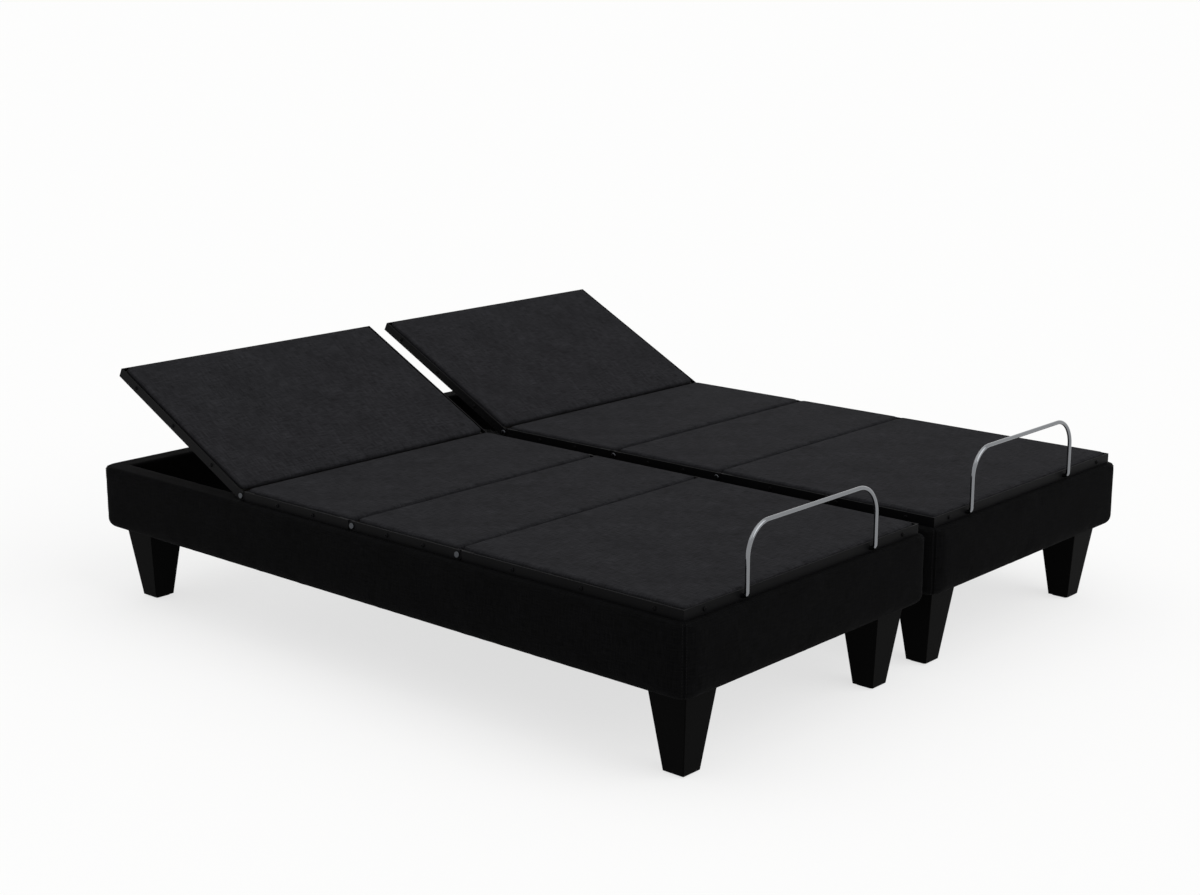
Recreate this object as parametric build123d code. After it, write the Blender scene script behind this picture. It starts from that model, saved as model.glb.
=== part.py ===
from build123d import *
import os
from math import cos, radians, sin, tan

# Twin adjustable bed base: two upholstered boxes on tapered legs, standing side by side.
# Each box carries a folding deck (head, seat, thigh and calf sections) moved by two push-rod drives.
# Millimetres. Origin on the floor under the middle of the pair, +X across, +Y to the head end, +Z up.
# The deck is shaped lying flat; the head section is then raised to the angle it has at rest.

# Overall sizes
BASE_WIDTH = 900.0
BASE_LENGTH = 2000.0
BASE_GAP = 24.0
BOX_BOTTOM = 197.0
BOX_HEIGHT = 167.0

# Upholstered box
CORNER_R = 43.0
TOP_EDGE_R = 12.0
BOTTOM_EDGE_R = 24.0
INNER_EDGE_R = 9.0
COVER_SIDE = 12.0
COVER_TOP = 10.0
COVER_BOTTOM = 8.0
RAIL_T = 39.0
CUT_MARGIN = 10.0

# Legs and what holds them
LEG_TOP = 106.0
LEG_BOTTOM = 57.0
LEG_EDGE_R = 2.5
LEG_INSET_X = 102.0
LEG_INSET_Y = 90.0
GLIDE_T = 4.0
GLIDE_SIZE = 44.0
GLIDE_CORNER_R = 6.0
GLIDE_EDGE_R = 1.0
BLOCK_X = 125.0
BLOCK_Y = 115.0
BLOCK_T = 40.0
BLOCK_CUT = 46.0
BOLT_R = 5.0
BOLT_IN_LEG = 42.0
BOLT_IN_BLOCK = 34.0
BOLT_CLEAR = 0.1
JOIN_PLATE_X = 150.0
JOIN_PLATE_Y = 60.0
JOIN_PLATE_T = 4.0
JOIN_PLATE_R = 8.0
JOIN_PLATE_AT = 620.0

# Deck sections, hinges along the length
DECK_INSET = 22.0
HEAD_INSET = 29.0
HEAD_HINGE_Y = 431.0
THIGH_HINGE_Y = 20.0
KNEE_Y = -330.0
HEAD_SWING = 60.0
HEAD_REST = 27.1
THIGH_SWING = 40.0

# Steel section frames
DECK_LIFT = 0.3
STEEL_T = 3.0
ANGLE_H = 24.0
ANGLE_W = 62.0
EAR_GAP = 0.5
EAR_CLEAR = 1.2
EAR_LAP = 48.0
TUBE = 20.0
TUBE_WALL = 2.0
TUBE_CLEAR = 5.0
HEAD_TUBE_AT = 432.0
FOOT_TUBE_AT = 135.0
END_PLATE_T = 4.0
PIN_R = 4.0
PIN_CLEAR = 0.05
PIN_HEAD_R = 7.5
PIN_HEAD_T = 3.0
PIN_HEAD_EDGE_R = 1.8
PIN_COLLAR_R = 6.4
PIN_COLLAR_T = 1.5
HEAD_GAP = 0.2

# Boards and pads of the deck
BOARD_T = 15.0
PAD_T = 12.0
PAD_EDGE_R = 7.0
PAD_CORNER_R = 12.0
SIDE_GAP = 2.0
FOLD_GAP = 1.5
KNEE_GAP = 5.0

# Slotted levers and push-rod drives
LEVER_DROP = 100.0
LEVER_T = 5.0
LEVER_END_R = 17.0
LEVER_TUBE_AT = 36.0
LEVER_TUBE_MARGIN = 8.0
SLOT_FREE = 0.5
DRIVE_X = 105.0
ROD_R = 10.0
ROD_CLEAR = 0.5
EYE_R = 14.0
EYE_W = 24.0
EYE_GAP = 2.0
CROSS_PIN_R = 6.0
CROSS_PIN_LIP = 5.0
GUIDE_R = 18.0
GUIDE_LENGTH = 190.0
MOUTH_CLEAR = 6.0
MOUTH_RING = 3.0
MOUTH_RING_LENGTH = 14.0
MOUTH_CHAMFER = 1.5
NOSE_R = 25.0
NOSE_LENGTH = 36.0
ROD_HELD = 55.0
HOUSING_X = 70.0
HOUSING_Y = 84.0
HOUSING_Z = 74.0
HOUSING_CORNER_R = 10.0
HOUSING_EDGE_R = 5.0
RIM = 2.5
RIM_T = 5.0
BOSS_R = 6.5
BOSS_LENGTH = 34.0
MOTOR_R = 28.0
MOTOR_LENGTH = 96.0
MOTOR_FLANGE = 4.0
MOTOR_FLANGE_T = 7.0
MOTOR_CAP_R = 22.0
MOTOR_CAP_T = 8.0
MOTOR_CAP_EDGE_R = 4.0
FOOT_INSET = 10.0
FOOT_T = 5.0
SADDLE_Y = 24.0
SADDLE_WALL = 16.0
STRAP_T = 2.5
STRAP_Y = 16.0
STRAP_CLEAR = 0.2
BEAM = 30.0
BEAM_WALL = 2.5
BEAM_PLATE = 56.0
CONTROL_X = 48.0
CONTROL_Y = 124.0
CONTROL_Z = 96.0
CONTROL_R = 6.0
INLET_X = 28.0
INLET_Z = 22.0
INLET_DEPTH = 16.0
LID_INSET = 7.0
LID_T = 2.0
VENT_COUNT = 7
VENT_PITCH = 7.0
VENT_LENGTH = 44.0
VENT_WIDTH = 3.0
VENT_DEPTH = 5.0
PORT_R = 7.5
PORT_PITCH = 26.0
PORT_DEPTH = 14.0

# Links that keep the calf section level
LINK_OFFSET_Y = -220.0
LINK_DROP = 60.0
LINK_T = 5.0
LINK_END_R = 14.0
LINK_PIN_R = 6.0
LINK_CLEAR = 0.3
LINK_WALL_GAP = 11.0
LINK_SIDE_GAP = 2.0
BRACKET_T = 5.0
BRACKET_MARGIN = 8.0

# Retainer bar at the foot end
BAR_R = 5.0
BAR_SPAN = 470.0
BAR_TOP = 527.0
BAR_CORNER_R = 70.0
BAR_FOOT_R = 11.0
BAR_STANDOFF = 13.0
BAR_INSERT = 62.0
BAR_CLEAR = 0.2
SOCKET_R = 7.2
SOCKET_LIFT = 0.1
BAR_OFFSET = {"left": -4.0, "right": -50.0}

# Derived places
PITCH = BASE_WIDTH + BASE_GAP
BOX_TOP = BOX_BOTTOM + BOX_HEIGHT
RAIL_WALL = 2 * COVER_SIDE + RAIL_T
INNER_X = BASE_WIDTH / 2 - RAIL_WALL
INNER_Y = BASE_LENGTH / 2 - RAIL_WALL
DECK_HALF = BASE_WIDTH / 2 - DECK_INSET
HEAD_END_Y = BASE_LENGTH / 2 - HEAD_INSET
FOOT_END_Y = -BASE_LENGTH / 2 + DECK_INSET
ANGLE_Z = BOX_TOP + DECK_LIFT
BOARD_Z = ANGLE_Z + STEEL_T
PAD_Z = BOARD_Z + BOARD_T
DECK_TOP = PAD_Z + PAD_T
EAR_R = ANGLE_H / 2
HINGE_Z = ANGLE_Z + EAR_R
EAR_X = DECK_HALF - 2 * STEEL_T - EAR_GAP
BOARD_HALF = EAR_X - PIN_COLLAR_T - HEAD_GAP - SIDE_GAP
TUBE_HALF = INNER_X - TUBE_CLEAR
TUBE_Z = ANGLE_Z - TUBE / 2
ROD_Z = HINGE_Z - LEVER_DROP
BEAM_TOP = ROD_Z - HOUSING_Z / 2 - FOOT_T
LINK_X = INNER_X - LINK_WALL_GAP - LINK_T
BRACKET_X = LINK_X - LINK_SIDE_GAP - BRACKET_T
LINK_PIVOT = (THIGH_HINGE_Y + LINK_OFFSET_Y, HINGE_Z - LINK_DROP)
CALF_PIVOT = (KNEE_Y + LINK_OFFSET_Y, HINGE_Z - LINK_DROP)
BAR_Z = BOARD_Z + SOCKET_R + SOCKET_LIFT


def span_box(x0, x1, y0, y1, z0, z1):
    """Box between two corners."""
    return Pos((x0 + x1) / 2, (y0 + y1) / 2, (z0 + z1) / 2) * Box(x1 - x0, y1 - y0, z1 - z0)


def side_plate(outline, x, thickness):
    """Plate standing along the length: an outline in (Y, Z) thickened from x towards +X."""
    return extrude(Plane.YZ.offset(x) * outline, thickness)


def rod_along_x(radius, x0, x1, y, z):
    return Pos((x0 + x1) / 2, y, z) * Rot(0, 90, 0) * Cylinder(radius, x1 - x0)


def rod_along_y(radius, x, y0, y1, z):
    return Pos(x, (y0 + y1) / 2, z) * Rot(90, 0, 0) * Cylinder(radius, y1 - y0)


def both_sides(shape):
    return [shape, mirror(shape, about=Plane.YZ)]


def box_tube(x0, x1, y, z, size, wall):
    """Square steel tube lying across the base."""
    outer = span_box(x0, x1, y - size / 2, y + size / 2, z - size / 2, z + size / 2)
    core = size / 2 - wall
    return outer - span_box(x0, x1, y - core, y + core, z - core, z + core)


# Upholstered box: four rails and their cover, mitred at the corners

def mitre_wedges():
    """One upright prism for each side of the box, meeting at 45 degrees in the corners."""
    out_x, out_y = BASE_WIDTH / 2 + CUT_MARGIN, BASE_LENGTH / 2 + CUT_MARGIN
    in_x, in_y = INNER_X - CUT_MARGIN, INNER_Y - CUT_MARGIN
    side = Polyline((out_x, -out_y), (out_x, out_y), (in_x, in_y), (in_x, -in_y), close=True)
    end = Polyline((-out_x, out_y), (out_x, out_y), (in_x, in_y), (-in_x, in_y), close=True)
    wedges = []
    for outline, plane in ((side, Plane.YZ), (end, Plane.XZ)):
        wedge = extrude(Pos(0, 0, BOX_BOTTOM - CUT_MARGIN) * make_face(outline), BOX_HEIGHT + 2 * CUT_MARGIN)
        wedges += [wedge, mirror(wedge, about=plane)]
    return wedges


def box_rails():
    inner_x, inner_y = INNER_X + COVER_SIDE, INNER_Y + COVER_SIDE
    outer_x, outer_y = BASE_WIDTH / 2 - COVER_SIDE, BASE_LENGTH / 2 - COVER_SIDE
    outline = RectangleRounded(2 * outer_x, 2 * outer_y, CORNER_R - COVER_SIDE)
    ring = outline - Rectangle(2 * inner_x, 2 * inner_y)
    return extrude(Pos(0, 0, BOX_BOTTOM + COVER_BOTTOM) * ring, BOX_HEIGHT - COVER_TOP - COVER_BOTTOM)


def box_cover(rails):
    block = extrude(Pos(0, 0, BOX_BOTTOM) * RectangleRounded(BASE_WIDTH, BASE_LENGTH, CORNER_R), BOX_HEIGHT)
    block = fillet(block.faces().sort_by(Axis.Z)[-1].edges(), TOP_EDGE_R)
    block = fillet(block.faces().sort_by(Axis.Z)[0].edges(), BOTTOM_EDGE_R)
    block -= span_box(-INNER_X, INNER_X, -INNER_Y, INNER_Y, BOX_BOTTOM - CUT_MARGIN, BOX_TOP + CUT_MARGIN)
    inner_edges = block.faces().sort_by(Axis.Z)[-1].inner_wires()[0].edges()
    return fillet(inner_edges, INNER_EDGE_R) - rails


def mitred(ring):
    return [ring & wedge for wedge in mitre_wedges()]


# Legs, glides, bolts and corner blocks

def leg_places():
    """Leg centres of one base, named by end and by side."""
    x, y = BASE_WIDTH / 2 - LEG_INSET_X, BASE_LENGTH / 2 - LEG_INSET_Y
    ends = (("head", y), ("foot", -y))
    sides = (("left", -x), ("right", x))
    return {f"leg_{end}_{side}": (at_x, at_y) for end, at_y in ends for side, at_x in sides}


def leg():
    foot = Pos(0, 0, GLIDE_T) * RectangleRounded(LEG_BOTTOM, LEG_BOTTOM, LEG_EDGE_R)
    top = Pos(0, 0, BOX_BOTTOM) * RectangleRounded(LEG_TOP, LEG_TOP, LEG_EDGE_R)
    bore = Pos(0, 0, BOX_BOTTOM - BOLT_IN_LEG / 2) * Cylinder(BOLT_R + BOLT_CLEAR, BOLT_IN_LEG)
    return loft([foot, top]) - bore


def leg_glide():
    glide = extrude(RectangleRounded(GLIDE_SIZE, GLIDE_SIZE, GLIDE_CORNER_R), GLIDE_T)
    return fillet(glide.edges().group_by(Axis.Z)[0], GLIDE_EDGE_R)


def leg_bolt():
    length = BOLT_IN_LEG + BOLT_IN_BLOCK
    return Pos(0, 0, BOX_BOTTOM - BOLT_IN_LEG + length / 2) * Cylinder(BOLT_R, length)


def corner_block(x, y):
    """Block that fills the inside corner over the leg at x, y."""
    way_x, way_y = (1 if x > 0 else -1), (1 if y > 0 else -1)
    corner = Polyline((0, 0), (-BLOCK_X, 0), (-BLOCK_X, -BLOCK_Y + BLOCK_CUT),
                      (-BLOCK_X + BLOCK_CUT, -BLOCK_Y), (0, -BLOCK_Y), close=True)
    block = Pos(INNER_X, INNER_Y, BOX_BOTTOM) * extrude(make_face(corner), BLOCK_T)
    if way_x < 0:
        block = mirror(block, about=Plane.YZ)
    if way_y < 0:
        block = mirror(block, about=Plane.XZ)
    return block - Pos(x, y, BOX_BOTTOM + BLOCK_T / 2) * Cylinder(BOLT_R + BOLT_CLEAR, BLOCK_T)


def joining_plate(y):
    plate = Pos(0, y, BOX_BOTTOM - JOIN_PLATE_T) * RectangleRounded(JOIN_PLATE_X, JOIN_PLATE_Y, JOIN_PLATE_R)
    return extrude(plate, JOIN_PLATE_T)


# Steel frames of the deck sections

def side_angle(foot, head):
    """Angle along the right edge of a section, from foot=(y, ear) to head=(y, ear).

    An outer ear is the rounded end of the upright leg itself. An inner ear is a plate set inside it.
    """
    outer_x = DECK_HALF - STEEL_T
    ends = ((foot, 1), (head, -1))
    upright_at, flange_at = [], []
    for (y, ear), inward in ends:
        upright_at.append(y + inward * (EAR_R + EAR_CLEAR) if ear == "inner" else y)
        flange_at.append(y + inward * ((EAR_R + EAR_CLEAR) if ear else STEEL_T))
    middle = (upright_at[0] + upright_at[1]) / 2
    upright = Pos(middle, HINGE_Z) * Rectangle(upright_at[1] - upright_at[0], ANGLE_H)
    for (y, ear), inward in ends:
        if ear == "outer":
            upright += Pos(y, HINGE_Z) * Circle(EAR_R)
            upright -= Pos(y, HINGE_Z) * Circle(PIN_R + PIN_CLEAR)
    angle = side_plate(upright, outer_x, STEEL_T)
    angle += span_box(DECK_HALF - ANGLE_W, outer_x, *flange_at, ANGLE_Z, BOARD_Z)
    for (y, ear), inward in ends:
        if ear == "inner":
            near, far = sorted((y, y + inward * EAR_LAP))
            ear_plate = Pos((near + far) / 2, HINGE_Z) * Rectangle(far - near, ANGLE_H)
            ear_plate += Pos(y, HINGE_Z) * Circle(EAR_R)
            ear_plate -= Pos(y, HINGE_Z) * Circle(PIN_R + PIN_CLEAR)
            angle += side_plate(ear_plate, EAR_X, STEEL_T)
            near, far = sorted((y + inward * (EAR_R + EAR_CLEAR), y + inward * EAR_LAP))
            angle += span_box(EAR_X, outer_x, near, far, ANGLE_Z, ANGLE_Z + ANGLE_H)
    return angle


def end_angle(y, inward):
    """Angle across the free end of a section."""
    outer_x = DECK_HALF - STEEL_T
    flange_x = DECK_HALF - ANGLE_W
    upright = span_box(-outer_x, outer_x, *sorted((y, y + inward * STEEL_T)), ANGLE_Z, ANGLE_Z + ANGLE_H)
    depth = sorted((y + inward * STEEL_T, y + inward * ANGLE_W))
    return upright + span_box(-flange_x, flange_x, *depth, ANGLE_Z, BOARD_Z)


def cross_tube(y):
    return box_tube(-TUBE_HALF, TUBE_HALF, y, TUBE_Z, TUBE, TUBE_WALL)


def hinge_pin(y):
    """Shouldered pin through one pair of ears on the right edge."""
    head_x = DECK_HALF + HEAD_GAP
    collar_x = EAR_X - HEAD_GAP
    pin = rod_along_x(PIN_R, collar_x, head_x, y, HINGE_Z)
    head = rod_along_x(PIN_HEAD_R, head_x, head_x + PIN_HEAD_T, y, HINGE_Z)
    pin += fillet(head.edges().sort_by(Axis.X)[-1], PIN_HEAD_EDGE_R)
    return pin + rod_along_x(PIN_COLLAR_R, collar_x - PIN_COLLAR_T, collar_x, y, HINGE_Z)


# Boards and pads

def fold_setback(swing):
    """Distance from a hinge that keeps two deck tops apart when they fold upwards."""
    return (DECK_TOP - HINGE_Z) * tan(radians(swing / 2)) + FOLD_GAP


def deck_board(foot_y, head_y):
    return span_box(-BOARD_HALF, BOARD_HALF, foot_y, head_y, BOARD_Z, PAD_Z)


def deck_pad(foot_y, head_y):
    outline = RectangleRounded(2 * BOARD_HALF, head_y - foot_y, PAD_CORNER_R)
    pad = extrude(Pos(0, (foot_y + head_y) / 2, PAD_Z) * outline, PAD_T)
    return fillet(pad.faces().sort_by(Axis.Z)[-1].edges(), PAD_EDGE_R)


# Slotted levers, push rods and drives

def rod_travel(swing):
    """Push-rod travel for each radian of lever swing: the straight line nearest to the tangent curve."""
    return LEVER_DROP * (1 + 0.275 * radians(swing / 2) ** 2)


def slot_radius(swing):
    half = radians(swing / 2)
    return CROSS_PIN_R + abs(LEVER_DROP * tan(half) - rod_travel(swing) * half) + SLOT_FREE


def pin_place(hinge_y, swing, angle, way):
    """Where the cross pin stands along the length when the section is at this angle."""
    return hinge_y + way * rod_travel(swing) * radians(angle - swing / 2)


def lever_plates(hinge_y, swing, way, x):
    """Pair of slotted plates under a section; way is +1 where the rod pushes to the head end."""
    half = radians(swing / 2)

    def place(reach):
        return Pos(hinge_y - way * sin(half) * reach, HINGE_Z - cos(half) * reach)

    near, far = place(LEVER_DROP), place(LEVER_DROP / cos(half))
    tube_y = hinge_y + way * LEVER_TUBE_AT
    tube = Pos(tube_y, TUBE_Z) * Rectangle(TUBE, TUBE)
    collar = Pos(tube_y, TUBE_Z - LEVER_TUBE_MARGIN / 2)
    collar = collar * Rectangle(TUBE + 2 * LEVER_TUBE_MARGIN, TUBE + LEVER_TUBE_MARGIN)
    outline = make_hull((near * Circle(LEVER_END_R) + far * Circle(LEVER_END_R) + collar).edges())
    slot = make_hull((near * Circle(slot_radius(swing)) + far * Circle(slot_radius(swing))).edges())
    plate = outline - slot - tube
    inside = EYE_W / 2 + EYE_GAP
    return [side_plate(plate, x + inside, LEVER_T), side_plate(plate, x - inside - LEVER_T, LEVER_T)]


def push_rod(hinge_y, swing, angle, way, x):
    """Rod with its eye and cross pin, set for this angle of the section."""
    pin_y = pin_place(hinge_y, swing, angle, way)
    travel = rod_travel(swing) * radians(swing)
    length = travel + ROD_HELD + LEVER_END_R + MOUTH_CLEAR
    rod = rod_along_y(ROD_R, x, *sorted((pin_y, pin_y - way * length)), ROD_Z)
    rod += rod_along_x(EYE_R, x - EYE_W / 2, x + EYE_W / 2, pin_y, ROD_Z)
    pin_half = EYE_W / 2 + EYE_GAP + LEVER_T + CROSS_PIN_LIP
    pin = rod_along_x(CROSS_PIN_R, x - pin_half, x + pin_half, pin_y, ROD_Z)
    bore = rod_along_x(CROSS_PIN_R + PIN_CLEAR, x - EYE_W / 2, x + EYE_W / 2, pin_y, ROD_Z)
    return [rod - bore, pin]


def mouth_place(hinge_y, swing, way):
    """End of the guide tube, just clear of the lever when the section lies flat."""
    return pin_place(hinge_y, swing, 0, way) - way * (LEVER_END_R + MOUTH_CLEAR)


def housing_place(hinge_y, swing, way):
    return mouth_place(hinge_y, swing, way) - way * (GUIDE_LENGTH + HOUSING_Y / 2)


def drive():
    """Guide tube, gear housing and motor pushing towards +Y, with the tube's mouth at the origin."""
    guide, motor = drive_guide(), drive_motor()
    return [guide, drive_housing() - guide - motor, motor]


def drive_guide():
    """Tube with a ring round its mouth, growing out of the housing's tapered nose."""
    root_y = -GUIDE_LENGTH
    guide = rod_along_y(GUIDE_R, 0, root_y, 0, 0)
    ring = rod_along_y(GUIDE_R + MOUTH_RING, 0, -MOUTH_RING_LENGTH, 0, 0)
    guide += chamfer(ring.edges().filter_by(GeomType.CIRCLE), MOUTH_CHAMFER)
    guide += Pos(0, root_y + NOSE_LENGTH / 2, 0) * Rot(-90, 0, 0) * Cone(NOSE_R, GUIDE_R, NOSE_LENGTH)
    return guide - rod_along_y(ROD_R + ROD_CLEAR, 0, root_y, 0, 0)


def drive_housing():
    """Two moulded halves: a rounded case with a parting rim half way up and a screw boss at each corner."""
    outline = RectangleRounded(HOUSING_X, HOUSING_Y, HOUSING_CORNER_R)
    case = extrude(Pos(0, 0, -HOUSING_Z / 2) * outline, HOUSING_Z)
    level_edges = case.edges().group_by(Axis.Z)
    case = fillet(level_edges[0] + level_edges[-1], HOUSING_EDGE_R)
    rim_outline = RectangleRounded(HOUSING_X + 2 * RIM, HOUSING_Y + 2 * RIM, HOUSING_CORNER_R + RIM)
    case += extrude(Pos(0, 0, -RIM_T / 2) * rim_outline, RIM_T)
    boss_x, boss_y = HOUSING_X - 2 * BOSS_R, HOUSING_Y - 2 * BOSS_R
    for place in GridLocations(boss_x, boss_y, 2, 2):
        case += place * Cylinder(BOSS_R, BOSS_LENGTH)
    return Pos(0, -GUIDE_LENGTH - HOUSING_Y / 2, 0) * case


def drive_motor():
    """Motor can on the housing's side: a flange at its root and a smaller bearing cap at its end."""
    y = -GUIDE_LENGTH - HOUSING_Y / 2
    root_x = -HOUSING_X / 2
    end_x = root_x - MOTOR_LENGTH
    motor = rod_along_x(MOTOR_R, end_x, root_x, y, 0)
    motor += rod_along_x(MOTOR_R + MOTOR_FLANGE, root_x - MOTOR_FLANGE_T, root_x, y, 0)
    cap = rod_along_x(MOTOR_CAP_R, end_x - MOTOR_CAP_T, end_x, y, 0)
    return motor + fillet(cap.edges().sort_by(Axis.X)[0], MOTOR_CAP_EDGE_R)


def drive_mounts(housing_y, guide_y, housing_x, guide_x):
    """On one beam: a foot under one drive's housing, saddle and strap round the other drive's guide tube."""
    foot = span_box(housing_x - HOUSING_X / 2 + FOOT_INSET, housing_x + HOUSING_X / 2 - FOOT_INSET,
                    housing_y - BEAM / 2, housing_y + BEAM / 2, BEAM_TOP, BEAM_TOP + FOOT_T)
    half = GUIDE_R + SADDLE_WALL
    saddle = span_box(guide_x - half, guide_x + half, guide_y - SADDLE_Y / 2, guide_y + SADDLE_Y / 2,
                      BEAM_TOP, ROD_Z)
    saddle -= rod_along_y(GUIDE_R, guide_x, guide_y - SADDLE_Y, guide_y + SADDLE_Y, ROD_Z)
    y0, y1 = guide_y - STRAP_Y / 2, guide_y + STRAP_Y / 2
    strap_r = GUIDE_R + STRAP_CLEAR
    strap = rod_along_y(strap_r + STRAP_T, guide_x, y0, y1, ROD_Z)
    strap &= span_box(guide_x - half, guide_x + half, y0, y1, ROD_Z, ROD_Z + half)
    strap += span_box(guide_x - half, guide_x + half, y0, y1, ROD_Z, ROD_Z + STRAP_T)
    return [foot, saddle, strap - rod_along_y(strap_r, guide_x, y0, y1, ROD_Z)]


def drive_beam(y):
    end_x = INNER_X - END_PLATE_T
    z = BEAM_TOP - BEAM / 2
    plate = span_box(end_x, INNER_X, y - BEAM_PLATE / 2, y + BEAM_PLATE / 2,
                     BEAM_TOP - BEAM, BEAM_TOP - BEAM + BEAM_PLATE)
    return [box_tube(-end_x, end_x, y, z, BEAM, BEAM_WALL)] + both_sides(plate)


def control_box(y):
    """Box on the left rail: raised lid with vents, inlet at its foot end, two sockets at its head end."""
    x0, x1 = -INNER_X, -INNER_X + CONTROL_X
    y0, y1 = y - CONTROL_Y / 2, y + CONTROL_Y / 2
    z0 = BEAM_TOP + FOOT_T
    middle_x, middle_z = (x0 + x1) / 2, z0 + CONTROL_Z / 2
    case = span_box(x0, x1, y0, y1, z0, z0 + CONTROL_Z)
    case = fillet(case.faces().sort_by(Axis.X)[-1].edges(), CONTROL_R)
    lid_face = Plane((x1, y, middle_z), x_dir=(0, 1, 0), z_dir=(1, 0, 0))
    lid_y, lid_z = CONTROL_Y - 2 * LID_INSET, CONTROL_Z - 2 * LID_INSET
    case += extrude(lid_face * RectangleRounded(lid_y, lid_z, CONTROL_R), LID_T)
    for place in GridLocations(VENT_PITCH, 0, VENT_COUNT, 1):
        vent = lid_face * place * Pos(0, 0, LID_T) * SlotOverall(VENT_LENGTH, VENT_WIDTH, rotation=90)
        case -= extrude(vent, -VENT_DEPTH)
    case -= Pos(middle_x, y0, middle_z) * Box(INLET_X, 2 * INLET_DEPTH, INLET_Z)
    for z in (middle_z - PORT_PITCH / 2, middle_z + PORT_PITCH / 2):
        case -= rod_along_y(PORT_R, middle_x, y1 - PORT_DEPTH, y1, z)
    return case


# Links that keep the calf section level

def calf_link():
    ends = (Pos(*LINK_PIVOT), Pos(*CALF_PIVOT))
    outline = make_hull((ends[0] * Circle(LINK_END_R) + ends[1] * Circle(LINK_END_R)).edges())
    for end in ends:
        outline -= end * Circle(LINK_PIN_R + LINK_CLEAR)
    return side_plate(outline, LINK_X, LINK_T)


def link_stud():
    """Plate and stud on the rail that carry the fixed end of a link."""
    y, z = LINK_PIVOT
    half = BEAM_PLATE / 2
    plate = span_box(INNER_X - END_PLATE_T, INNER_X, y - half, y + half, z - half, z + half)
    stud = rod_along_x(LINK_PIN_R, LINK_X - LINK_SIDE_GAP, INNER_X - END_PLATE_T, y, z)
    collar_x = LINK_X - HEAD_GAP
    collar = rod_along_x(LINK_PIN_R * 1.5, collar_x - LINK_SIDE_GAP, collar_x, y, z)
    return plate + stud + collar


def calf_bracket():
    """Plate under the calf section, down to the moving end of a link."""
    y, z = CALF_PIVOT
    collar = Pos(y, TUBE_Z - BRACKET_MARGIN / 2)
    collar = collar * Rectangle(TUBE + 2 * BRACKET_MARGIN, TUBE + BRACKET_MARGIN)
    outline = make_hull((collar + Pos(y, z) * Circle(LINK_END_R)).edges())
    outline -= Pos(y, TUBE_Z) * Rectangle(TUBE, TUBE)
    outline -= Pos(y, z) * Circle(LINK_PIN_R + PIN_CLEAR)
    return side_plate(outline, BRACKET_X, BRACKET_T)


def calf_link_pin():
    y, z = CALF_PIVOT
    pin = rod_along_x(LINK_PIN_R, BRACKET_X - LINK_SIDE_GAP, LINK_X + LINK_T + LINK_SIDE_GAP, y, z)
    washer = LINK_X + LINK_T + HEAD_GAP
    return pin + rod_along_x(LINK_PIN_R * 1.5, washer, washer + LINK_SIDE_GAP, y, z)


# Retainer bar

def bar_feet(offset):
    return (offset - BAR_SPAN / 2, offset + BAR_SPAN / 2)


def retainer_bar(offset):
    near, far = bar_feet(offset)
    bar_y = FOOT_END_Y - BAR_STANDOFF
    tail_y = FOOT_END_Y + BAR_INSERT
    points = [(near, tail_y, BAR_Z), (near, bar_y, BAR_Z), (near, bar_y, BAR_TOP),
              (far, bar_y, BAR_TOP), (far, bar_y, BAR_Z), (far, tail_y, BAR_Z)]
    radii = [BAR_FOOT_R, BAR_CORNER_R, BAR_CORNER_R, BAR_FOOT_R]
    return sweep(Plane(points[0], z_dir=(0, -1, 0)) * Circle(BAR_R), bent_path(points, radii))


def bent_path(points, radii):
    """Line through the points with an arc of the given radius at each inner point."""
    edges = []
    start = Vector(*points[0])
    for before, corner, after, radius in zip(points, points[1:], points[2:], radii):
        corner = Vector(*corner)
        way_in = (corner - Vector(*before)).normalized()
        way_out = (Vector(*after) - corner).normalized()
        arc_start, arc_end = corner - way_in * radius, corner + way_out * radius
        edges += [Line(start, arc_start), TangentArc(arc_start, arc_end, tangent=way_in)]
        start = arc_end
    edges.append(Line(start, Vector(*points[-1])))
    return Wire(edges)


def bar_socket(x):
    y0, y1 = FOOT_END_Y + STEEL_T, FOOT_END_Y + BAR_INSERT + STEEL_T
    return rod_along_y(SOCKET_R, x, y0, y1, BAR_Z) - rod_along_y(BAR_R + BAR_CLEAR, x, y0, y1, BAR_Z)


# The sections of one base, lying flat

def head_section():
    setback = fold_setback(HEAD_SWING)
    angle = side_angle((HEAD_HINGE_Y, "outer"), (HEAD_END_Y, None))
    frame = both_sides(angle) + [end_angle(HEAD_END_Y, -1)]
    frame += [cross_tube(HEAD_HINGE_Y + LEVER_TUBE_AT), cross_tube(HEAD_HINGE_Y + HEAD_TUBE_AT)]
    frame += lever_plates(HEAD_HINGE_Y, HEAD_SWING, 1, -DRIVE_X)
    span = (HEAD_HINGE_Y + setback, HEAD_END_Y - STEEL_T - SIDE_GAP)
    return {"head_frame": frame, "head_board": [deck_board(*span)], "head_pad": [deck_pad(*span)]}


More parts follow.
